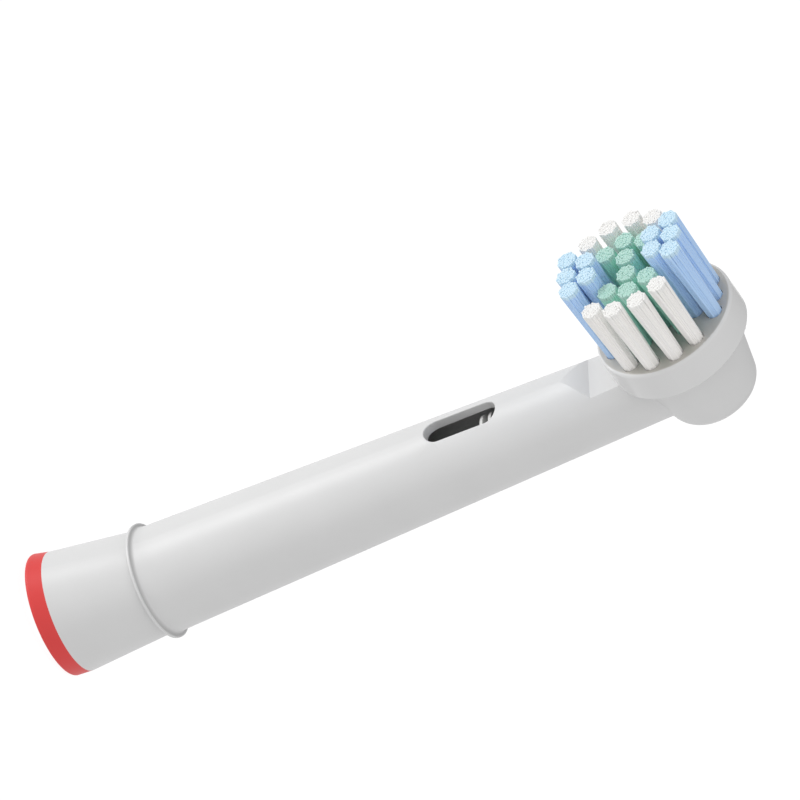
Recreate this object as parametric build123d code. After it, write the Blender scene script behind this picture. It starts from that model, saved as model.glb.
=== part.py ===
from build123d import *

import os
from math import asin, cos, degrees, radians, sin, tan

# Replacement head for an oscillating electric toothbrush, in millimetres.
# +Z runs along the drive axis from the handle to the bristle plate, and +X is the bristle side.
# The origin is where the drive axis meets the slanted base face.

# Base: an oval, slanted foot that flares towards the bristle side
BASE_SLOPE_DEG = 5.0          # the front of the base face is higher than its back
BASE_LENGTH = 13.71           # front to back, along the slope
BASE_WIDTH = 12.08
BASE_FORWARD = 0.94           # centre of the oval ahead of the drive axis
RING_HEIGHT = 1.77
RING_DRAFT = 0.15             # the ring's upper edge is this much smaller all round
RING_LEAN = 0.20              # and this much further back
RING_WALL = 1.0
RING_EDGE = 0.25              # rounding of the foot's lower outer edge
RING_CLEARANCE = 0.02
RING_RECESS = 0.20            # the sleeve stays this far above the foot's lower face
SKIRT_TOP_DIAMETER = 10.84
SKIRT_TOP_FORWARD = 0.08
SKIRT_HEIGHT = 11.45          # joint between the skirt and the tube's flange, above the origin

# Sleeve: takes the nose of the handle and guides the drive coupling
HANDLE_BORE_DIAMETER = 7.30
HANDLE_BORE_DEPTH = 15.4
KEY_WIDTH = 2.2
KEY_DEPTH = 0.8
KEY_LENGTH = 9.5
SPIGOT_DIAMETER = 8.80
SPIGOT_LENGTH = 9.25          # above the skirt, inside the tube
SPIGOT_CLEARANCE = 0.03

# Tube, its foot flange and the head box, one moulding
FLANGE_THICKNESS = 0.28
FLANGE_WIDTH = 0.52           # how far the flange stands out from the tube
FLANGE_COVE = 0.42            # radius between the flange and the tube
FLANGE_EDGE = 0.05
TUBE_BASE_DIAMETER = 11.16    # at the flange
TUBE_HEAD_DIAMETER = 7.77     # at the bristle plate's axis
HEAD_HEIGHT = 71.97           # bristle plate's axis above the origin
BORE_LOWER_DIAMETER = 7.90
BORE_UPPER_DIAMETER = 7.00
BORE_BELOW_HEAD = 14.47       # end of the wide bore below the bristle plate's axis
WINDOW_LENGTH = 7.83
WINDOW_WIDTH = 2.76
WINDOW_BELOW_HEAD = 23.62     # centre of the drain window below the bristle plate's axis
WINDOW_EDGE = 0.10
SHOULDER_BELOW_HEAD = 12.67   # where the front of the neck starts to fall away
SHOULDER_LENGTH = 2.65
RIM_LEVEL = 3.15              # x of the head box's rim and of the flat on the neck
BOX_RIM_DIAMETER = 12.28
BOX_FLOOR_DIAMETER = 8.84     # before its rounded edge
BOX_FLOOR_LEVEL = -5.09       # x of the back of the head
BOX_EDGE = 2.06
BOX_WALL = 1.1
NECK_FILLET = 0.20            # between the neck and the head box
BOSS_DIAMETER = 3.4
BOSS_LEVEL = -1.40            # x of the top of the axle's boss
BEARING_LENGTH = 3.0
BEARING_BELOW_HEAD = 7.37     # upper end of the rod's bearing below the bristle plate's axis
ROD_PASSAGE_DIAMETER = 2.2

# Drive: a moulded coupling pressed on a cranked steel rod
DRIVE_SOCKET_DIAMETER = 3.50
DRIVE_SOCKET_FLAT = 1.55      # flat of the D from the axis
DRIVE_SOCKET_DEPTH = 14.4
JOURNAL_DIAMETER = 6.00
RUNNING_CLEARANCE = 0.05      # radial, at every turning fit
END_PLAY = 0.15
THRUST_COLLAR_DIAMETER = 8.40
THRUST_COLLAR_THICKNESS = 1.0
COUPLING_DIAMETER = 5.80
COUPLING_BODY_LENGTH = 10.0   # above the thrust collar
COUPLING_TAPER_LENGTH = 2.5
STEM_DIAMETER = 3.80
STEM_BELOW_HEAD = 20.67       # upper end of the stem below the bristle plate's axis
SPLASH_COLLAR_DIAMETER = 6.10
SPLASH_COLLAR_THICKNESS = 0.30
SPLASH_COLLAR_DROPS = (1.30, 0.38)   # middle of each collar below the stem's upper end
ROD_DIAMETER = 1.30
ROD_FOOT_WEB = 6.35           # coupling left between the D socket and the rod
ROD_GRIP_CLEARANCE = 0.01
CRANK_THROW = 1.80
CRANK_ANGLE_DEG = 45.0        # slope of the rod between its two bends
CRANK_BEND = 1.5              # radius of the rod's centre line in each bend
CRANK_GAP = 0.28              # bearing's end to the first bend
CRANK_CLEARANCE = 0.15

# Bristle plate: a disc on a hub, turned by a fork that straddles the crank
PLATE_DIAMETER = 14.60
PLATE_GAP = 0.15              # between the head box's rim and the plate
PLATE_THICKNESS = 3.57
PLATE_TOP_EDGE = 0.40
PLATE_LOWER_EDGE = 0.15
HUB_DIAMETER = 3.20
HUB_END_GAP = 0.10            # hub's end to the boss
AXLE_DIAMETER = 1.50
AXLE_TOP_WEB = 3.00           # plate left above the axle's hole
AXLE_END_GAP = 0.20
AXLE_SEAT_DEPTH = 2.9         # axle pressed into the boss and floor
SNAP_LEVEL = 1.25             # x of the middle of the axle's snap ridge
SNAP_HEIGHT = 0.25
SNAP_WIDTH = 0.30
FORK_RADIUS = 2.75            # prongs from the plate's axis
PRONG_DIAMETER = 0.90
PRONG_GAP = 0.15              # each side of the crank pin
PRONG_END_LEVEL = 0.60
PRONG_TIP = 0.20
CRANK_END_GAP = 0.37          # crank pin's end to the hub

# Tufts: bundles folded over a metal anchor and driven into blind holes
TUFT_TIP_DIAMETER = 2.00
TUFT_ROOT_DIAMETER = 1.62     # gripped in its hole, from where the bundle spreads
TUFT_LOBES = 8
TUFT_LOBE_SHARE = 0.30        # lobe's diameter in the bundle's diameter
TUFT_CLEARANCE = 0.03
TUFT_HOLE_DEPTH = 2.4
TUFT_SEAT_GAP = 0.05
ANCHOR_THICKNESS = 0.30
ANCHOR_HEIGHT = 1.20
ANCHOR_WIDTH = 1.30
ANCHOR_CLEARANCE = 0.02
BLUE_HEIGHT = 9.53            # tips above the plate's face
WHITE_HEIGHT = 8.28
GREEN_HEIGHT = 7.96
WHITE_CIRCLE_RADIUS = 5.85
WHITE_CIRCLE_DROP = 0.22      # its centre from the plate's axis, towards the handle
WHITE_ANGLES_DEG = (12.5, 36.5)
BLUE_OUTER = ((0.0, 5.60), (2.10, 5.40))
BLUE_INNER = (1.05, 3.50)
GREEN_ROW = (1.15, 3.45)
GREEN_CORNER = (2.55, 2.10)

# Levels that follow from the sizes above
FLANGE_TOP = SKIRT_HEIGHT + FLANGE_THICKNESS
FLANGE_RADIUS = TUBE_BASE_DIAMETER / 2 + FLANGE_WIDTH
SPIGOT_TOP = SKIRT_HEIGHT + SPIGOT_LENGTH
COLLAR_LOW = SPIGOT_TOP + END_PLAY
COLLAR_TOP = COLLAR_LOW + THRUST_COLLAR_THICKNESS
LEDGE_HEIGHT = COLLAR_TOP + END_PLAY
COUPLING_LOW = HANDLE_BORE_DEPTH + END_PLAY
COUPLING_TOP = COLLAR_TOP + COUPLING_BODY_LENGTH
STEM_LOW = COUPLING_TOP + COUPLING_TAPER_LENGTH
STEM_TOP = HEAD_HEIGHT - STEM_BELOW_HEAD
ROD_LOW = COUPLING_LOW + DRIVE_SOCKET_DEPTH + ROD_FOOT_WEB
BORE_END = HEAD_HEIGHT - BORE_BELOW_HEAD
WINDOW_HEIGHT = HEAD_HEIGHT - WINDOW_BELOW_HEAD
SHOULDER_START = HEAD_HEIGHT - SHOULDER_BELOW_HEAD
BEARING_TOP = HEAD_HEIGHT - BEARING_BELOW_HEAD
PLATE_LOW = RIM_LEVEL + PLATE_GAP
PLATE_TOP = PLATE_LOW + PLATE_THICKNESS
HUB_LOW = BOSS_LEVEL + HUB_END_GAP
AXLE_HOLE_TOP = PLATE_TOP - AXLE_TOP_WEB
AXLE_LOW = BOSS_LEVEL - AXLE_SEAT_DEPTH
AXLE_TOP = AXLE_HOLE_TOP - AXLE_END_GAP
CRANK_LOW = BEARING_TOP + CRANK_GAP + CRANK_BEND * tan(radians(CRANK_ANGLE_DEG / 2))
CRANK_HIGH = CRANK_LOW + CRANK_THROW / tan(radians(CRANK_ANGLE_DEG))
CRANK_END = HEAD_HEIGHT - HUB_DIAMETER / 2 - CRANK_END_GAP
CRANK_CAVITY_RADIUS = CRANK_THROW + ROD_DIAMETER / 2 + CRANK_CLEARANCE
FORK_ANGLE = asin((ROD_DIAMETER / 2 + PRONG_DIAMETER / 2 + PRONG_GAP) / FORK_RADIUS)

# The base face, and the head's own frame: local z is +X, local x is +Y and local y is +Z
SLOPE = radians(BASE_SLOPE_DEG)
BASE_PLANE = Plane(origin=(0, 0, 0), x_dir=(cos(SLOPE), 0, sin(SLOPE)), z_dir=(-sin(SLOPE), 0, cos(SLOPE)))
HEAD_PLANE = Plane(origin=(0, 0, HEAD_HEIGHT), x_dir=(0, 1, 0), z_dir=(1, 0, 0))


def turned(*profile):
    """A solid turned about local Z from (radius, height) corners."""
    return revolve(make_face(Plane.XZ * Polyline(*profile, close=True)), Axis.Z)


def rod_between(diameter, low, high):
    return Pos(0, 0, low) * extrude(Circle(diameter / 2), high - low)


def tube_radius(height):
    share = (height - FLANGE_TOP) / (HEAD_HEIGHT - FLANGE_TOP)
    return (TUBE_BASE_DIAMETER + (TUBE_HEAD_DIAMETER - TUBE_BASE_DIAMETER) * share) / 2


def ring_oval(height, inset, forward):
    """The foot's oval at a height above the base face, drawn in by an inset."""
    oval = Ellipse(BASE_LENGTH / 2 - inset, BASE_WIDTH / 2 - inset)
    return BASE_PLANE * Pos(forward, 0, height) * oval


def colour_ring():
    """Coloured foot that tells one user's head from another's, snapped round the sleeve's end."""
    upper_forward = BASE_FORWARD - RING_LEAN
    upper_oval = ring_oval(RING_HEIGHT, RING_DRAFT, upper_forward)
    foot = loft([ring_oval(0, 0, BASE_FORWARD), upper_oval], ruled=True)
    lower_face = foot.faces().sort_by(Axis(BASE_PLANE.origin, BASE_PLANE.z_dir))[0]
    foot = fillet(lower_face.edges(), RING_EDGE)
    hole = extrude(ring_oval(0, RING_DRAFT + RING_WALL, upper_forward), RING_HEIGHT)
    return foot - hole


def base_sleeve():
    """Moulded sleeve: seat of the ring, flared skirt, and the spigot inside the tube."""
    upper_forward = BASE_FORWARD - RING_LEAN
    seat_inset = RING_DRAFT + RING_WALL + RING_CLEARANCE
    seat = extrude(ring_oval(RING_RECESS, seat_inset, upper_forward), RING_HEIGHT - RING_RECESS)
    skirt_top = Pos(SKIRT_TOP_FORWARD, 0, SKIRT_HEIGHT) * Circle(SKIRT_TOP_DIAMETER / 2)
    skirt = loft([ring_oval(RING_HEIGHT, RING_DRAFT, upper_forward), skirt_top], ruled=True)
    spigot = rod_between(SPIGOT_DIAMETER, SKIRT_HEIGHT, SPIGOT_TOP)
    below = -BASE_LENGTH
    handle_bore = rod_between(HANDLE_BORE_DIAMETER, below, HANDLE_BORE_DEPTH)
    guide_bore = rod_between(JOURNAL_DIAMETER + 2 * RUNNING_CLEARANCE, HANDLE_BORE_DEPTH, SPIGOT_TOP)
    key = Pos(0, 0, below) * extrude(
        Rectangle(HANDLE_BORE_DIAMETER / 2 + KEY_DEPTH, KEY_WIDTH, align=(Align.MIN, Align.CENTER)),
        KEY_LENGTH - below,
    )
    return seat + skirt + spigot - handle_bore - guide_bore - key


def head_box_profile(inset, floor_level, top_level, edge):
    """Half section of the head box, drawn in by an inset and rounded at its floor."""
    lean = (BOX_RIM_DIAMETER - BOX_FLOOR_DIAMETER) / 2 / (RIM_LEVEL - BOX_FLOOR_LEVEL)

    def radius(level):
        return BOX_FLOOR_DIAMETER / 2 + lean * (level - BOX_FLOOR_LEVEL) - inset

    corners = Polyline(
        (0, floor_level),
        (radius(floor_level), floor_level),
        (radius(top_level), top_level),
        (0, top_level),
        close=True,
    )
    face = make_face(Plane.XZ * corners)
    floor_corner = face.vertices().sort_by(Axis.Z)[:2].sort_by(Axis.X)[-1]
    return fillet(floor_corner, edge)


def neck_relief():
    """What is cut from the front of the neck: a rounded shoulder down to a flat level with the box's rim."""
    start = (tube_radius(SHOULDER_START), SHOULDER_START)
    slope = (TUBE_HEAD_DIAMETER - TUBE_BASE_DIAMETER) / 2 / (HEAD_HEIGHT - FLANGE_TOP)
    corner = (RIM_LEVEL, SHOULDER_START + SHOULDER_LENGTH)
    beyond = HEAD_HEIGHT + PLATE_DIAMETER
    outside = TUBE_BASE_DIAMETER
    outline = TangentArc(start, corner, tangent=(slope, 1)) + Polyline(
        corner, (RIM_LEVEL, beyond), (outside, beyond), (outside, SHOULDER_START), start
    )
    return extrude(make_face(Plane.XZ * outline), PLATE_DIAMETER, both=True)


def flange_circles(tube):
    """The round edges of the tube's flange, from the innermost out."""
    low_edges = tube.edges().filter_by_position(Axis.Z, SKIRT_HEIGHT, FLANGE_TOP)
    return low_edges.filter_by(GeomType.CIRCLE).sort_by(SortBy.RADIUS)


def brush_tube():
    """Moulded housing: coved flange, tapered tube, drain window, neck, and the head box with its boss."""
    outside = turned(
        (0, SKIRT_HEIGHT),
        (FLANGE_RADIUS, SKIRT_HEIGHT),
        (FLANGE_RADIUS, FLANGE_TOP),
        (tube_radius(FLANGE_TOP), FLANGE_TOP),
        (tube_radius(HEAD_HEIGHT), HEAD_HEIGHT),
        (0, HEAD_HEIGHT),
    )
    outside = fillet(flange_circles(outside)[0], FLANGE_COVE)
    outside = fillet(flange_circles(outside)[-2:], FLANGE_EDGE)
    outside += HEAD_PLANE * revolve(head_box_profile(0, BOX_FLOOR_LEVEL, RIM_LEVEL, BOX_EDGE), Axis.Z)
    outside -= neck_relief()
    curved_edges = outside.edges().filter_by(GeomType.BSPLINE)
    neck_joint = curved_edges.filter_by_position(Axis.Z, BEARING_TOP, HEAD_HEIGHT)
    outside = fillet(neck_joint, NECK_FILLET)

    socket = rod_between(SPIGOT_DIAMETER + 2 * SPIGOT_CLEARANCE, SKIRT_HEIGHT, LEDGE_HEIGHT)
    bore = turned(
        (0, LEDGE_HEIGHT),
        (BORE_LOWER_DIAMETER / 2, LEDGE_HEIGHT),
        (BORE_UPPER_DIAMETER / 2, BORE_END),
        (0, BORE_END),
    )
    passage = rod_between(ROD_PASSAGE_DIAMETER, BORE_END, BEARING_TOP - BEARING_LENGTH)
    bearing = rod_between(ROD_DIAMETER + 2 * RUNNING_CLEARANCE, BEARING_TOP - BEARING_LENGTH, BEARING_TOP)
    crank_room = rod_between(2 * CRANK_CAVITY_RADIUS, BEARING_TOP, HEAD_HEIGHT)
    inner_floor = BOX_FLOOR_LEVEL + BOX_WALL
    head_room = HEAD_PLANE * revolve(
        head_box_profile(BOX_WALL, inner_floor, RIM_LEVEL, BOX_EDGE - BOX_WALL), Axis.Z
    )
    boss = HEAD_PLANE * rod_between(BOSS_DIAMETER, inner_floor, BOSS_LEVEL)
    axle_seat = HEAD_PLANE * rod_between(AXLE_DIAMETER + 2 * ROD_GRIP_CLEARANCE, AXLE_LOW, BOSS_LEVEL)
    window = Plane.YZ * Pos(0, WINDOW_HEIGHT) * extrude(
        SlotOverall(WINDOW_LENGTH, WINDOW_WIDTH, rotation=90), TUBE_BASE_DIAMETER
    )
    hollow = socket + bore + passage + bearing + window + ((crank_room + head_room) - boss)
    tube = outside - hollow - axle_seat
    mid_wall = (tube_radius(WINDOW_HEIGHT) + BORE_UPPER_DIAMETER / 2) / 2
    window_rim = (
        tube.edges()
        .filter_by_position(Axis.Z, WINDOW_HEIGHT - WINDOW_LENGTH / 2, WINDOW_HEIGHT + WINDOW_LENGTH / 2)
        .filter_by_position(Axis.X, mid_wall, TUBE_BASE_DIAMETER)
    )
    return fillet(window_rim, WINDOW_EDGE)


def drive_coupling():
    """Moulded coupling: journal and D socket below, thrust collar, and a stem with two splash collars."""
    body = turned(
        (0, COUPLING_LOW),
        (JOURNAL_DIAMETER / 2, COUPLING_LOW),
        (JOURNAL_DIAMETER / 2, COLLAR_LOW),
        (THRUST_COLLAR_DIAMETER / 2, COLLAR_LOW),
        (THRUST_COLLAR_DIAMETER / 2, COLLAR_TOP),
        (COUPLING_DIAMETER / 2, COLLAR_TOP),
        (COUPLING_DIAMETER / 2, COUPLING_TOP),
        (STEM_DIAMETER / 2, STEM_LOW),
        (STEM_DIAMETER / 2, STEM_TOP),
        (0, STEM_TOP),
    )
    for drop in SPLASH_COLLAR_DROPS:
        collar_low = STEM_TOP - drop - SPLASH_COLLAR_THICKNESS / 2
        body += rod_between(SPLASH_COLLAR_DIAMETER, collar_low, collar_low + SPLASH_COLLAR_THICKNESS)
    radius = DRIVE_SOCKET_DIAMETER / 2
    d_shape = Circle(radius) - Pos(-DRIVE_SOCKET_FLAT, 0) * Rectangle(
        radius, 2 * radius, align=(Align.MAX, Align.CENTER)
    )
    d_socket = Pos(0, 0, COUPLING_LOW) * extrude(d_shape, DRIVE_SOCKET_DEPTH)
    grip = rod_between(ROD_DIAMETER + 2 * ROD_GRIP_CLEARANCE, ROD_LOW, STEM_TOP)
    return body - d_socket - grip


def drive_rod():
    """Steel rod bent to a crank that reaches up between the plate's fork prongs."""
    path = FilletPolyline(
        (0, 0, ROD_LOW),
        (0, 0, CRANK_LOW),
        (CRANK_THROW, 0, CRANK_HIGH),
        (CRANK_THROW, 0, CRANK_END),
        radius=CRANK_BEND,
    )
    return sweep(Pos(0, 0, ROD_LOW) * Circle(ROD_DIAMETER / 2), path)


def snap_ridge(radius, spare):
    """Ring that snaps the plate on its axle, or its groove when some spare is added."""
    half = SNAP_WIDTH / 2 + spare
    return turned(
        (0, SNAP_LEVEL - half - SNAP_HEIGHT),
        (radius, SNAP_LEVEL - half - SNAP_HEIGHT),
        (radius + SNAP_HEIGHT, SNAP_LEVEL - half),
        (radius + SNAP_HEIGHT, SNAP_LEVEL + half),
        (radius, SNAP_LEVEL + half + SNAP_HEIGHT),
        (0, SNAP_LEVEL + half + SNAP_HEIGHT),
    )


def plate_axle():
    """Steel axle pressed into the boss, with a ridge that holds the bristle plate."""
    radius = AXLE_DIAMETER / 2
    return HEAD_PLANE * (rod_between(AXLE_DIAMETER, AXLE_LOW, AXLE_TOP) + snap_ridge(radius, 0))


def white_places():
    for angle in WHITE_ANGLES_DEG:
        y = WHITE_CIRCLE_RADIUS * cos(radians(angle))
        z = WHITE_CIRCLE_RADIUS * sin(radians(angle))
        yield from ((side * y, end * z - WHITE_CIRCLE_DROP) for side in (1, -1) for end in (1, -1))


def blue_places():
    for end in (1, -1):
        for y, z in BLUE_OUTER + (BLUE_INNER,):
            yield from ((side * y, end * z) for side in ((1, -1) if y else (1,)))


def green_places():
    for y in GREEN_ROW:
        yield from ((side * y, 0.0) for side in (1, -1))
    y, z = GREEN_CORNER
    yield from ((side * y, end * z) for side in (1, -1) for end in (1, -1))


# Each colour's tip height and its places about the plate's axis, as (y, z)
TUFTS = {
    "blue": (BLUE_HEIGHT, list(blue_places())),
    "white": (WHITE_HEIGHT, list(white_places())),
    "green": (GREEN_HEIGHT, list(green_places())),
}
ALL_PLACES = [place for height, places in TUFTS.values() for place in places]


def bristle_plate():
    """Turning disc with a hub on the axle, two fork prongs and a blind hole for each tuft."""
    disc = rod_between(PLATE_DIAMETER, PLATE_LOW, PLATE_TOP)
    disc = fillet(disc.edges().sort_by(Axis.Z)[-1], PLATE_TOP_EDGE)
    disc = fillet(disc.edges().sort_by(Axis.Z)[0], PLATE_LOWER_EDGE)
    hub = rod_between(HUB_DIAMETER, HUB_LOW, PLATE_LOW)
    plate = disc + hub
    prong = rod_between(PRONG_DIAMETER, PRONG_END_LEVEL, PLATE_LOW)
    prong = fillet(prong.edges().sort_by(Axis.Z)[0], PRONG_TIP)
    for side in (1, -1):
        plate += Pos(side * FORK_RADIUS * sin(FORK_ANGLE), -FORK_RADIUS * cos(FORK_ANGLE)) * prong
    bore_radius = AXLE_DIAMETER / 2 + RUNNING_CLEARANCE
    plate -= rod_between(2 * bore_radius, HUB_LOW, AXLE_HOLE_TOP) + snap_ridge(bore_radius, RUNNING_CLEARANCE)
    hole = rod_between(TUFT_ROOT_DIAMETER + 2 * TUFT_CLEARANCE, PLATE_TOP - TUFT_HOLE_DEPTH, PLATE_TOP)
    plate -= [Pos(y, z) * hole for y, z in ALL_PLACES]
    return HEAD_PLANE * plate


def anchor_blade(spare):
    """Metal blade that a tuft is folded over, or the slot it leaves when some spare is added."""
    low = PLATE_TOP - TUFT_HOLE_DEPTH + TUFT_SEAT_GAP
    blade = Rectangle(ANCHOR_WIDTH + 2 * spare, ANCHOR_THICKNESS + 2 * spare)
    return Pos(0, 0, low) * extrude(blade, ANCHOR_HEIGHT + spare)


def tuft_section(diameter):
    """Lobed section of a bundle of filaments."""
    lobe_radius = diameter * TUFT_LOBE_SHARE / 2
    lobe_circle = diameter / 2 - lobe_radius
    lobes = [place * Circle(lobe_radius) for place in PolarLocations(lobe_circle, TUFT_LOBES)]
    return Circle(lobe_circle) + lobes


def tuft(height):
    """Bundle that is slotted at its root for the anchor and spreads from the plate's face to its tip."""
    low = PLATE_TOP - TUFT_HOLE_DEPTH + TUFT_SEAT_GAP
    at_face = Pos(0, 0, PLATE_TOP) * tuft_section(TUFT_ROOT_DIAMETER)
    at_tip = Pos(0, 0, PLATE_TOP + height) * tuft_section(TUFT_TIP_DIAMETER)
    root = extrude(at_face, low - PLATE_TOP)
    return root + loft([at_face, at_tip], ruled=True) - anchor_blade(ANCHOR_CLEARANCE)


def tuft_anchors():
    """The metal blades of all the tufts."""
    blade = anchor_blade(0)
    return Compound(children=[HEAD_PLANE * Pos(y, z) * blade for y, z in ALL_PLACES])


os.makedirs("parts", exist_ok=True)
for piece in (
    colour_ring,
    base_sleeve,
    brush_tube,
    drive_coupling,
    drive_rod,
    plate_axle,
    bristle_plate,
    tuft_anchors,
):
    export_step(piece(), f"parts/{piece.__name__}.step")
for colour, (height, places) in TUFTS.items():
    bundle = tuft(height)
    for number, (y, z) in enumerate(places, start=1):
        export_step(HEAD_PLANE * Pos(y, z) * bundle, f"parts/tuft_{colour}_{number:02d}.step")
print(f"plate turns {CRANK_THROW / (FORK_RADIUS * cos(FORK_ANGLE)):.4f} times the drive")
print(f"fork prongs stand {degrees(FORK_ANGLE):.2f} degrees each side of the crank")
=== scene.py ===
from math import cos, pi, radians, sin
from random import Random

import bpy
from mathutils import Matrix, Quaternion, Vector


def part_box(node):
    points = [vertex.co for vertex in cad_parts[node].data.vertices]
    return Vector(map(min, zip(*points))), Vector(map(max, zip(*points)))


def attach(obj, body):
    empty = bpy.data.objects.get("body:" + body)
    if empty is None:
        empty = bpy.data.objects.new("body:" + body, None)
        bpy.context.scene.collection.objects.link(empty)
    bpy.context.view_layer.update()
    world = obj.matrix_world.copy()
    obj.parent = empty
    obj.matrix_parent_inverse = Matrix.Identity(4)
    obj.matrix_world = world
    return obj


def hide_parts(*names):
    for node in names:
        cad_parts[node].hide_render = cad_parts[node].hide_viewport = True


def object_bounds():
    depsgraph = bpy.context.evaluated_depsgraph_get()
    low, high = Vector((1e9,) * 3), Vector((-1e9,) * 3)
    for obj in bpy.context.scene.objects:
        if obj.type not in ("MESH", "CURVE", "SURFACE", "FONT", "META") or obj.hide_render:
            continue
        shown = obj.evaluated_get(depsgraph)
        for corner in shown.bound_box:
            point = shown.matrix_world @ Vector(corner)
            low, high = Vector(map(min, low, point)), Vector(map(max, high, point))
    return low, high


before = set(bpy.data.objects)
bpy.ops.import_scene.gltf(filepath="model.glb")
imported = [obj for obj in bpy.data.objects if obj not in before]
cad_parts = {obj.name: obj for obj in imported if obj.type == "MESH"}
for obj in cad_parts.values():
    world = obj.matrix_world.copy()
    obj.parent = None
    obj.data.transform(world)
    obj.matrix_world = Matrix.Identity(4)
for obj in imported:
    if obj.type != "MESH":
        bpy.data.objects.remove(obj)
cad_low, cad_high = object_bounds()


# Base sleeve: the flared skirt that the handle's nose enters, and the spigot that the tube is
# pushed over. Moulded in one shot of white ABS, with a fine spark-eroded grain from the mould.

MM = 0.001
MIX_SHARE, MIX_FIRST, MIX_SECOND, MIX_RESULT = 0, 6, 7, 2  # sockets of a mix of two colours


def linear(code):
    """Linear colour of an sRGB hex code."""

    def channel(pair):
        value = int(pair, 16) / 255
        return value / 12.92 if value <= 0.04045 else ((value + 0.055) / 1.055) ** 2.4

    return (*(channel(code[start : start + 2]) for start in (1, 3, 5)), 1.0)


def add_node(tree, kind, values=None, links=None, **settings):
    """Adds a node with its settings, the values of its inputs and the sockets that feed them."""
    node = tree.nodes.new(kind)
    for name, value in settings.items():
        setattr(node, name, value)
    for name, value in (values or {}).items():
        node.inputs[name].default_value = value
    for name, socket in (links or {}).items():
        tree.links.new(socket, node.inputs[name])
    return node


def start_material(name):
    """A new material with its nodes, its shader and the place of a point on the object."""
    material = bpy.data.materials.new(name)
    material.use_nodes = True
    tree = material.node_tree
    place = add_node(tree, "ShaderNodeTexCoord").outputs["Object"]
    return material, tree, tree.nodes["Principled BSDF"], place


def moulded_plastic(name, colour, cloud_colour, roughness):
    """Satin moulded plastic: a soft highlight broken by fine grain, over a faintly clouded colour."""
    cloud_size = 5.0 * MM
    cloud_gloss = 0.04  # how far the roughness strays with the clouds
    grain_size = 0.16 * MM  # the real grain is near 0.05 mm, drawn coarser so that it shows
    grain_height = 0.0025 * MM
    grain_strength = 0.35
    material, tree, shader, place = start_material(name)
    shader.inputs["IOR"].default_value = 1.53
    cloud = add_node(
        tree, "ShaderNodeTexNoise", {"Scale": 1 / cloud_size, "Detail": 2.0}, {"Vector": place}
    )
    tint = add_node(
        tree,
        "ShaderNodeMix",
        {MIX_FIRST: linear(colour), MIX_SECOND: linear(cloud_colour)},
        {MIX_SHARE: cloud.outputs["Fac"]},
        data_type="RGBA",
    )
    tree.links.new(tint.outputs[MIX_RESULT], shader.inputs["Base Color"])
    gloss = add_node(
        tree,
        "ShaderNodeMapRange",
        {"To Min": roughness - cloud_gloss, "To Max": roughness + cloud_gloss},
        {"Value": cloud.outputs["Fac"]},
    )
    tree.links.new(gloss.outputs["Result"], shader.inputs["Roughness"])
    grain = add_node(
        tree, "ShaderNodeTexNoise", {"Scale": 1 / grain_size, "Detail": 1.0}, {"Vector": place}
    )
    bump = add_node(
        tree,
        "ShaderNodeBump",
        {"Strength": grain_strength, "Distance": grain_height},
        {"Height": grain.outputs["Fac"]},
    )
    tree.links.new(bump.outputs["Normal"], shader.inputs["Normal"])
    return material


def axis_distance(tree, place):
    """How far a point lies from the drive axis."""
    across = add_node(
        tree, "ShaderNodeVectorMath", {1: (1, 1, 0)}, {0: place}, operation="MULTIPLY"
    )
    length = add_node(
        tree, "ShaderNodeVectorMath", links={0: across.outputs[0]}, operation="LENGTH"
    )
    return length.outputs["Value"]


def lay_over(tree, colour, share):
    """Lays a second colour over the shader's own, by a share from 0 to 1."""
    base = tree.nodes["Principled BSDF"].inputs["Base Color"]
    tint = add_node(
        tree,
        "ShaderNodeMix",
        {MIX_SECOND: linear(colour)},
        {MIX_SHARE: share, MIX_FIRST: base.links[0].from_socket},
        data_type="RGBA",
    )
    tree.links.new(tint.outputs[MIX_RESULT], base)


def paint_crease_shade(material, grey):
    """Greys the joint under the tube's foot flange and the cove above it: painted shade in the colour,
    where these creases lie in shade.
    """
    flange_level = 11.59 * MM  # middle of the flange's thickness
    flange_thickness = 0.28 * MM
    flange_radius = 6.10 * MM
    unshaded_rim = 0.10 * MM
    crease_reach = 0.36 * MM
    tree = material.node_tree
    place = add_node(tree, "ShaderNodeTexCoord").outputs["Object"]
    level = add_node(tree, "ShaderNodeSeparateXYZ", links={"Vector": place}).outputs["Z"]
    rise = add_node(tree, "ShaderNodeMath", {1: flange_level}, {0: level}, operation="SUBTRACT")
    away = add_node(tree, "ShaderNodeMath", links={0: rise.outputs[0]}, operation="ABSOLUTE")
    near_flange = add_node(
        tree,
        "ShaderNodeMapRange",
        {"From Min": flange_thickness / 2 + crease_reach, "From Max": flange_thickness / 2},
        {"Value": away.outputs[0]},
        interpolation_type="SMOOTHSTEP",
    )
    inside_rim = add_node(
        tree,
        "ShaderNodeMapRange",
        {"From Min": flange_radius - unshaded_rim, "From Max": flange_radius - 2 * unshaded_rim},
        {"Value": axis_distance(tree, place)},
    )
    crease = add_node(
        tree,
        "ShaderNodeMath",
        links={0: near_flange.outputs["Result"], 1: inside_rim.outputs["Result"]},
        operation="MULTIPLY",
    )
    lay_over(tree, grey, crease.outputs[0])


def dress(node, material):
    """Gives a node of the frame its material."""
    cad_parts[node].material_slots[0].material = material


white_abs = moulded_plastic("white_abs_moulded", "#DDDDDD", "#D8D8D8", roughness=0.43)
# Painted shade: the creases by the tube's foot flange are greyed in the colour.
paint_crease_shade(white_abs, "#BCBCBC")
dress("base_sleeve", white_abs)


# Colour ring: the coral foot that tells one user's head from another's.
# A separate moulding of dyed ABS, snapped round the sleeve's end and a little duller than it.

coral_abs = moulded_plastic("coral_abs_moulded", "#E03C3A", "#DA3635", roughness=0.48)
dress("colour_ring", coral_abs)


# Drive coupling: the piece that the handle's shaft turns, seen through the drain window.
# Moulded of acetal with two pale splash collars near its head end, and held between the
# sleeve's spigot and a ledge in the tube. Its stem is painted dark, painted shade for the dim inside
# of the tube.


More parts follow.
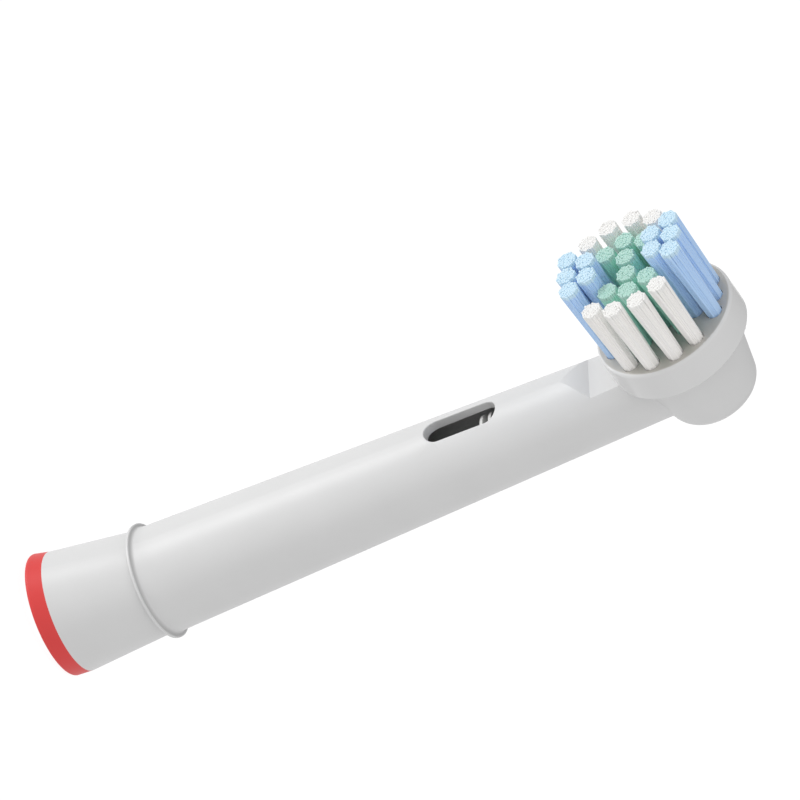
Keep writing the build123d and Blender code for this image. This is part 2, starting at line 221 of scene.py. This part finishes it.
def acetal_painted_shade_pale_collars(shaded_body_colour, collar_colour):
    """Smooth acetal, painted dark over its length as shade inside the tube, and pale on the collars,
    which stand out beyond the stem.
    """
    collars_low = 49.8 * MM
    stem_radius = 2.1 * MM
    material, tree, shader, place = start_material("acetal_painted_shade_pale_collars")
    shader.inputs["IOR"].default_value = 1.48
    shader.inputs["Roughness"].default_value = 0.42
    level = add_node(tree, "ShaderNodeSeparateXYZ", links={"Vector": place}).outputs["Z"]
    above = add_node(tree, "ShaderNodeMath", {1: collars_low}, {0: level}, operation="GREATER_THAN")
    beyond = add_node(
        tree,
        "ShaderNodeMath",
        {1: stem_radius},
        {0: axis_distance(tree, place)},
        operation="GREATER_THAN",
    )
    on_collar = add_node(
        tree,
        "ShaderNodeMath",
        links={0: above.outputs[0], 1: beyond.outputs[0]},
        operation="MULTIPLY",
    )
    # Painted shade: the stem's dark colour stands in for the shade inside the tube.
    tint = add_node(
        tree,
        "ShaderNodeMix",
        {MIX_FIRST: linear(shaded_body_colour), MIX_SECOND: linear(collar_colour)},
        {MIX_SHARE: on_collar.outputs[0]},
        data_type="RGBA",
    )
    tree.links.new(tint.outputs[MIX_RESULT], shader.inputs["Base Color"])
    return material


dress("drive_coupling", acetal_painted_shade_pale_collars("#323234", "#E8E8E6"))


# Drive rod and plate axle: the cranked rod that turns the bristle plate, and the pin it turns on.
# Drawn stainless steel wire, bright, with fine marks of the die along its length. The rod is
# pressed into the coupling, and the axle stands in the head box.


def drawn_steel(name, marks_along):
    """Bright drawn steel, streaked lengthwise by the die."""
    mark_width = 0.06 * MM
    mark_length = 6.0 * MM
    bright, dull = 0.16, 0.34  # roughness between the marks and in them
    material, tree, shader, place = start_material(name)
    shader.inputs["Metallic"].default_value = 1.0
    shader.inputs["Base Color"].default_value = linear("#C9CACC")
    scale = [1 / (mark_length if axis == marks_along else mark_width) for axis in "XYZ"]
    stretched = add_node(tree, "ShaderNodeMapping", {"Scale": scale}, {"Vector": place})
    marks = add_node(
        tree,
        "ShaderNodeTexNoise",
        {"Scale": 1.0, "Detail": 2.0},
        {"Vector": stretched.outputs["Vector"]},
    )
    gloss = add_node(
        tree, "ShaderNodeMapRange", {"To Min": bright, "To Max": dull}, {"Value": marks.outputs["Fac"]}
    )
    tree.links.new(gloss.outputs["Result"], shader.inputs["Roughness"])
    return material


dress("drive_rod", drawn_steel("drawn_steel_rod", marks_along="Z"))
dress("plate_axle", drawn_steel("drawn_steel_axle", marks_along="X"))


# Brush tube: the tapered tube with its foot flange, drain window, neck and round head box.
# One white ABS moulding, pushed over the sleeve's spigot until its flange meets the skirt.

# The painted shade in white_abs greys the cove above its foot flange.
dress("brush_tube", white_abs)


# Bristle plate: the round carrier that turns to and fro on its axle.
# Moulded of glossier ABS than the tube, with a blind hole for each tuft; its face between them is
# greyed as painted shade from the tufts.

PLATE_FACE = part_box("bristle_plate")[1].x
FACE_SHADE_EDGE = (0.05 * MM, 0.01 * MM)  # depths below the face where the grey starts and is full
plate_abs = moulded_plastic("plate_abs_moulded", "#E0E0E0", "#DCDCDC", roughness=0.18)
plate_tree = plate_abs.node_tree
plate_place = add_node(plate_tree, "ShaderNodeTexCoord").outputs["Object"]
plate_level = add_node(plate_tree, "ShaderNodeSeparateXYZ", links={"Vector": plate_place}).outputs["X"]
face_shade = add_node(
    plate_tree,
    "ShaderNodeMapRange",
    {"From Min": PLATE_FACE - FACE_SHADE_EDGE[0], "From Max": PLATE_FACE - FACE_SHADE_EDGE[1]},
    {"Value": plate_level},
)
# Painted shade: the face is greyed for the shade that the tufts cast on it.
lay_over(plate_tree, "#BAB7B1", face_shade.outputs["Result"])
dress("bristle_plate", plate_abs)


# Tuft anchors: a stamped blade in the bottom of each hole that a tuft is folded over.
# Flat brass strip, dull and patchy from the stamping press.

TARNISH_SIZE = 0.4 * MM
BRASS_BRIGHT, BRASS_DULL = 0.3, 0.5  # roughness between the patches and in them
brass_strip, brass_tree, brass_shader, brass_place = start_material("brass_strip_stamped")
brass_shader.inputs["Metallic"].default_value = 1.0
brass_shader.inputs["Base Color"].default_value = linear("#C9A758")
tarnish = add_node(
    brass_tree, "ShaderNodeTexNoise", {"Scale": 1 / TARNISH_SIZE}, {"Vector": brass_place}
)
tarnish_gloss = add_node(
    brass_tree,
    "ShaderNodeMapRange",
    {"To Min": BRASS_BRIGHT, "To Max": BRASS_DULL},
    {"Value": tarnish.outputs["Fac"]},
)
brass_tree.links.new(tarnish_gloss.outputs["Result"], brass_shader.inputs["Roughness"])
dress("tuft_anchors", brass_strip)


# Tufts: bundles of nylon filaments, folded over their anchors and driven into the plate's holes.
# Each filament is extruded nylon with its end ground round, and a bundle spreads towards its tip.

FILAMENT_DIAMETER = 0.28 * MM
FILAMENT_SIDES = 8
FILAMENT_ROUNDING = 0.06 * MM  # length of the ground end
ROUNDING_STEPS = ((0.65, 0.86), (0.35, 0.66))  # shares of that length, each with its narrowing
SMOOTH_ANGLE = radians(50)  # sharper edges stay sharp
SORTING_POINT = Vector((-5, 3, 2)) * MM  # no two faces of a filament are as far from it
RINGS = 4  # of filaments round the one in the middle
PER_RING = 6  # more filaments in each ring than in the one inside it
BUNDLE_AT_FACE = 1.62 * MM  # across the bundle where it leaves its hole
GRIP_DEPTH = 1.1 * MM  # hidden length in the hole, down to the anchor
TIP_SPREAD = 0.018 * MM  # how far a tip strays sideways
TIP_UNEVENNESS = 0.08 * MM  # how much shorter a filament may be
LOBES = 8
LOBE_DEPTH = 0.07  # share by which the bundle's outline swells at each lobe
chance = Random(26)


def model_filament(length):
    """One filament along +X from the origin, closed at its foot and rounded at its end."""
    bpy.ops.object.select_all(action="DESELECT")
    bpy.ops.mesh.primitive_circle_add(
        vertices=FILAMENT_SIDES,
        radius=FILAMENT_DIAMETER / 2,
        fill_type="NGON",
        location=(0, 0, 0),
        rotation=(0, pi / 2, 0),
    )
    bpy.ops.object.transform_apply(location=True, rotation=True, scale=True)
    bpy.ops.object.mode_set(mode="EDIT")
    bpy.ops.mesh.select_all(action="SELECT")
    steps = [(length - FILAMENT_ROUNDING, 1.0)]
    steps += [(FILAMENT_ROUNDING * share, narrowing) for share, narrowing in ROUNDING_STEPS]
    reach = 0
    for rise, narrowing in steps:
        reach += rise
        bpy.ops.mesh.extrude_region_move(TRANSFORM_OT_translate={"value": (rise, 0, 0)})
        bpy.ops.transform.resize(value=(1, narrowing, narrowing), center_override=(reach, 0, 0))
    bpy.ops.mesh.select_all(action="SELECT")
    bpy.ops.mesh.normals_make_consistent(inside=False)
    # Extruding leaves the faces in an order that changes from run to run.
    bpy.context.scene.cursor.location = SORTING_POINT
    bpy.ops.mesh.sort_elements(type="CURSOR_DISTANCE", elements={"VERT", "EDGE", "FACE"})
    bpy.ops.object.mode_set(mode="OBJECT")
    bpy.ops.object.shade_smooth_by_angle(angle=SMOOTH_ANGLE)
    return bpy.context.object


def model_bundle(node, material):
    """The filaments of one tuft, copied from one filament into the place of its solid."""
    low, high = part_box(node)
    foot = PLATE_FACE - GRIP_DEPTH
    middle_y, middle_z = (low.y + high.y) / 2, (low.z + high.z) / 2
    tip_reach = (high.y - low.y - FILAMENT_DIAMETER) / 2
    face_reach = (BUNDLE_AT_FACE - FILAMENT_DIAMETER) / 2 / (1 + LOBE_DEPTH)
    free_length = high.x - PLATE_FACE
    filament = model_filament(high.x - foot)
    turn = chance.uniform(0, 2 * pi)
    places = [Vector((0, 0))]
    for ring in range(1, RINGS + 1):
        for number in range(PER_RING * ring):
            angle = 2 * pi * number / (PER_RING * ring)
            share = ring / RINGS * (1 + LOBE_DEPTH * ring / RINGS * cos(LOBES * angle))
            places.append(Vector((cos(angle + turn), sin(angle + turn))) * share)
    bundle = []
    for sideways in places:
        stray = Vector((chance.gauss(0, 1), chance.gauss(0, 1))) * TIP_SPREAD
        at_face = sideways * face_reach
        lean = (sideways * tip_reach + stray - at_face) / free_length
        at_foot = at_face - lean * GRIP_DEPTH
        stretch = 1 - chance.random() * TIP_UNEVENNESS / free_length
        copy = filament.copy()
        copy.data = filament.data.copy()
        copy.data.transform(
            Matrix(
                (
                    (stretch, 0, 0, foot),
                    (lean.x, 1, 0, middle_y + at_foot.x),
                    (lean.y, 0, 1, middle_z + at_foot.y),
                    (0, 0, 0, 1),
                )
            )
        )
        bpy.context.collection.objects.link(copy)
        bundle.append(copy)
    bpy.data.objects.remove(filament)
    bpy.ops.object.select_all(action="DESELECT")
    for copy in bundle:
        copy.select_set(True)
    bpy.context.view_layer.objects.active = bundle[0]
    bpy.ops.object.join()
    joined = bpy.context.object
    joined.name = node.replace("tuft", "filaments")
    joined.data.materials.append(material)
    return joined


def nylon_filaments(name, colour, streak_colour, lit_tip_colour, tip_level):
    """Dyed nylon monofilament: a satin sheen, shades from strand to strand, and ends painted paler as
    painted light on the lit tips.
    """
    strand_width = 0.22 * MM
    strand_length = 20 * MM
    lit_tip_length = 0.7 * MM
    material, tree, shader, place = start_material(name)
    shader.inputs["IOR"].default_value = 1.53
    shader.inputs["Roughness"].default_value = 0.42
    shader.inputs["Sheen Weight"].default_value = 0.5
    stretched = add_node(
        tree,
        "ShaderNodeMapping",
        {"Scale": (1 / strand_length, 1 / strand_width, 1 / strand_width)},
        {"Vector": place},
    )
    strands = add_node(
        tree,
        "ShaderNodeTexNoise",
        {"Scale": 1.0, "Detail": 1.0},
        {"Vector": stretched.outputs["Vector"]},
    )
    shades = add_node(
        tree,
        "ShaderNodeMix",
        {MIX_FIRST: linear(colour), MIX_SECOND: linear(streak_colour)},
        {MIX_SHARE: strands.outputs["Fac"]},
        data_type="RGBA",
    )
    tree.links.new(shades.outputs[MIX_RESULT], shader.inputs["Base Color"])
    level = add_node(tree, "ShaderNodeSeparateXYZ", links={"Vector": place}).outputs["X"]
    tip_light = add_node(
        tree,
        "ShaderNodeMapRange",
        {"From Min": tip_level - lit_tip_length, "From Max": tip_level - lit_tip_length / 2},
        {"Value": level},
    )
    # Painted light: the ends are paler, as if lit more than the sides.
    lay_over(tree, lit_tip_colour, tip_light.outputs["Result"])
    return material


for dye, colour, streak_colour, lit_tip_colour in (
    ("blue", "#BEDDFF", "#B0D4FF", "#CDEAFB"),
    ("white", "#FFFDFB", "#F7F4F1", "#F6F5F3"),
    ("green", "#B4EFDE", "#A6E6D2", "#B5DED2"),
):
    nodes = sorted(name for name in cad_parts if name.startswith(f"tuft_{dye}_"))
    tip_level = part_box(nodes[0])[1].x
    dyed_nylon = nylon_filaments(
        f"{dye}_nylon_filaments", colour, streak_colour, lit_tip_colour, tip_level
    )
    for node in nodes:
        bundle = model_bundle(node, dyed_nylon)
        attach(bundle, "plate")
        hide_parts(node)


# Stage: a table of back-lit white acrylic under the foot, two lamps that shine up through it on the
# bristle side, and a pale surround that is brighter in front.

TABLE_SIZE = 4000 * MM
TABLE_SEEN = 0.92  # glow towards the camera and in reflections, which its own colour brings to white
TABLE_FILL = 0.47  # glow on the object
bpy.ops.object.select_all(action="DESELECT")
bpy.ops.mesh.primitive_plane_add(size=TABLE_SIZE, location=(0, 0, cad_low.z))
table = bpy.context.object
table.name = "table"
table.visible_shadow = False  # the lamps below shine up through it
acrylic = bpy.data.materials.new("white_acrylic_back_lit")
acrylic.use_nodes = True
acrylic_tree = acrylic.node_tree
acrylic_tree.nodes.remove(acrylic_tree.nodes["Principled BSDF"])
path = add_node(acrylic_tree, "ShaderNodeLightPath").outputs
mirrored = add_node(
    acrylic_tree,
    "ShaderNodeMath",
    links={0: path["Is Glossy Ray"], 1: path["Is Transmission Ray"]},
    operation="MAXIMUM",
)
seen = add_node(
    acrylic_tree,
    "ShaderNodeMath",
    links={0: path["Is Camera Ray"], 1: mirrored.outputs[0]},
    operation="MAXIMUM",
)
glow = add_node(
    acrylic_tree,
    "ShaderNodeMapRange",
    {"To Min": TABLE_FILL, "To Max": TABLE_SEEN},
    {"Value": seen.outputs[0]},
)
matt = add_node(acrylic_tree, "ShaderNodeBsdfDiffuse", {"Color": linear("#7A7A7A")})
light = add_node(acrylic_tree, "ShaderNodeEmission", links={"Strength": glow.outputs["Result"]})
both = add_node(acrylic_tree, "ShaderNodeAddShader", links={0: matt.outputs[0], 1: light.outputs[0]})
acrylic_tree.links.new(both.outputs[0], acrylic_tree.nodes["Material Output"].inputs["Surface"])
table.data.materials.append(acrylic)

LEVEL_IN_FRONT = 1.0
LEVEL_BEHIND = 0.49
FRONT = Vector((0.64, 0.76, -0.10)).normalized()  # between the bristle side and the +Y flank
world = bpy.data.worlds.new("pale_surround")
world.use_nodes = True
world_tree = world.node_tree
direction = add_node(world_tree, "ShaderNodeTexCoord").outputs["Generated"]
facing = add_node(
    world_tree, "ShaderNodeVectorMath", {1: FRONT}, {0: direction}, operation="DOT_PRODUCT"
)
level = add_node(
    world_tree,
    "ShaderNodeMapRange",
    {"From Min": -1.0, "To Min": LEVEL_BEHIND, "To Max": LEVEL_IN_FRONT},
    {"Value": facing.outputs["Value"]},
)
surround = world_tree.nodes["Background"]
surround.inputs["Color"].default_value = linear("#FFFFFF")
world_tree.links.new(level.outputs["Result"], surround.inputs["Strength"])
bpy.context.scene.world = world


def aim(holder, target):
    """Turns a lamp or camera to look at a point."""
    holder.rotation_mode = "QUATERNION"
    holder.rotation_quaternion = (Vector(target) - holder.location).to_track_quat("-Z", "Y")


LAMP_DISTANCE = 600 * MM
LAMP_TARGET = Vector((0, 0, 42)) * MM
for name, azimuth, elevation, size, watts in (
    ("soft_lamp", radians(-20), radians(-19), 180 * MM, 1.15),
    ("low_lamp", radians(-38), radians(-62), 60 * MM, 0.34),
):
    lamp = bpy.data.objects.new(name, bpy.data.lights.new(name, "AREA"))
    lamp.data.size = size
    lamp.data.energy = watts
    lamp.location = LAMP_TARGET + LAMP_DISTANCE * Vector(
        (cos(azimuth) * cos(elevation), sin(azimuth) * cos(elevation), sin(elevation))
    )
    lamp.visible_camera = False
    aim(lamp, LAMP_TARGET)
    bpy.context.collection.objects.link(lamp)


# Camera: a long lens from above the bristle side, rolled so that the head points to the upper right.

CAMERA_AZIMUTH = radians(139.74)
CAMERA_ELEVATION = radians(19.136)
CAMERA_ROLL = radians(67.659)
CAMERA_DISTANCE = 600 * MM
CAMERA_TARGET = Vector((6.301, -4.135, 42.849)) * MM
LENS_LENGTH = 275.42  # in millimetres, as is the sensor
SENSOR_WIDTH = 36
back = Vector(
    (
        sin(CAMERA_AZIMUTH) * cos(CAMERA_ELEVATION),
        -cos(CAMERA_AZIMUTH) * cos(CAMERA_ELEVATION),
        sin(CAMERA_ELEVATION),
    )
)
camera = bpy.data.objects.new("camera", bpy.data.cameras.new("camera"))
camera.data.lens = LENS_LENGTH
camera.data.sensor_width = SENSOR_WIDTH
camera.location = CAMERA_TARGET + back * CAMERA_DISTANCE
aim(camera, CAMERA_TARGET)
camera.rotation_quaternion = Quaternion(back, CAMERA_ROLL) @ camera.rotation_quaternion
camera.data.clip_start = 10 * MM
camera.data.clip_end = 20000 * MM
bpy.context.collection.objects.link(camera)
bpy.context.scene.camera = camera
bpy.context.scene.view_settings.view_transform = "Standard"
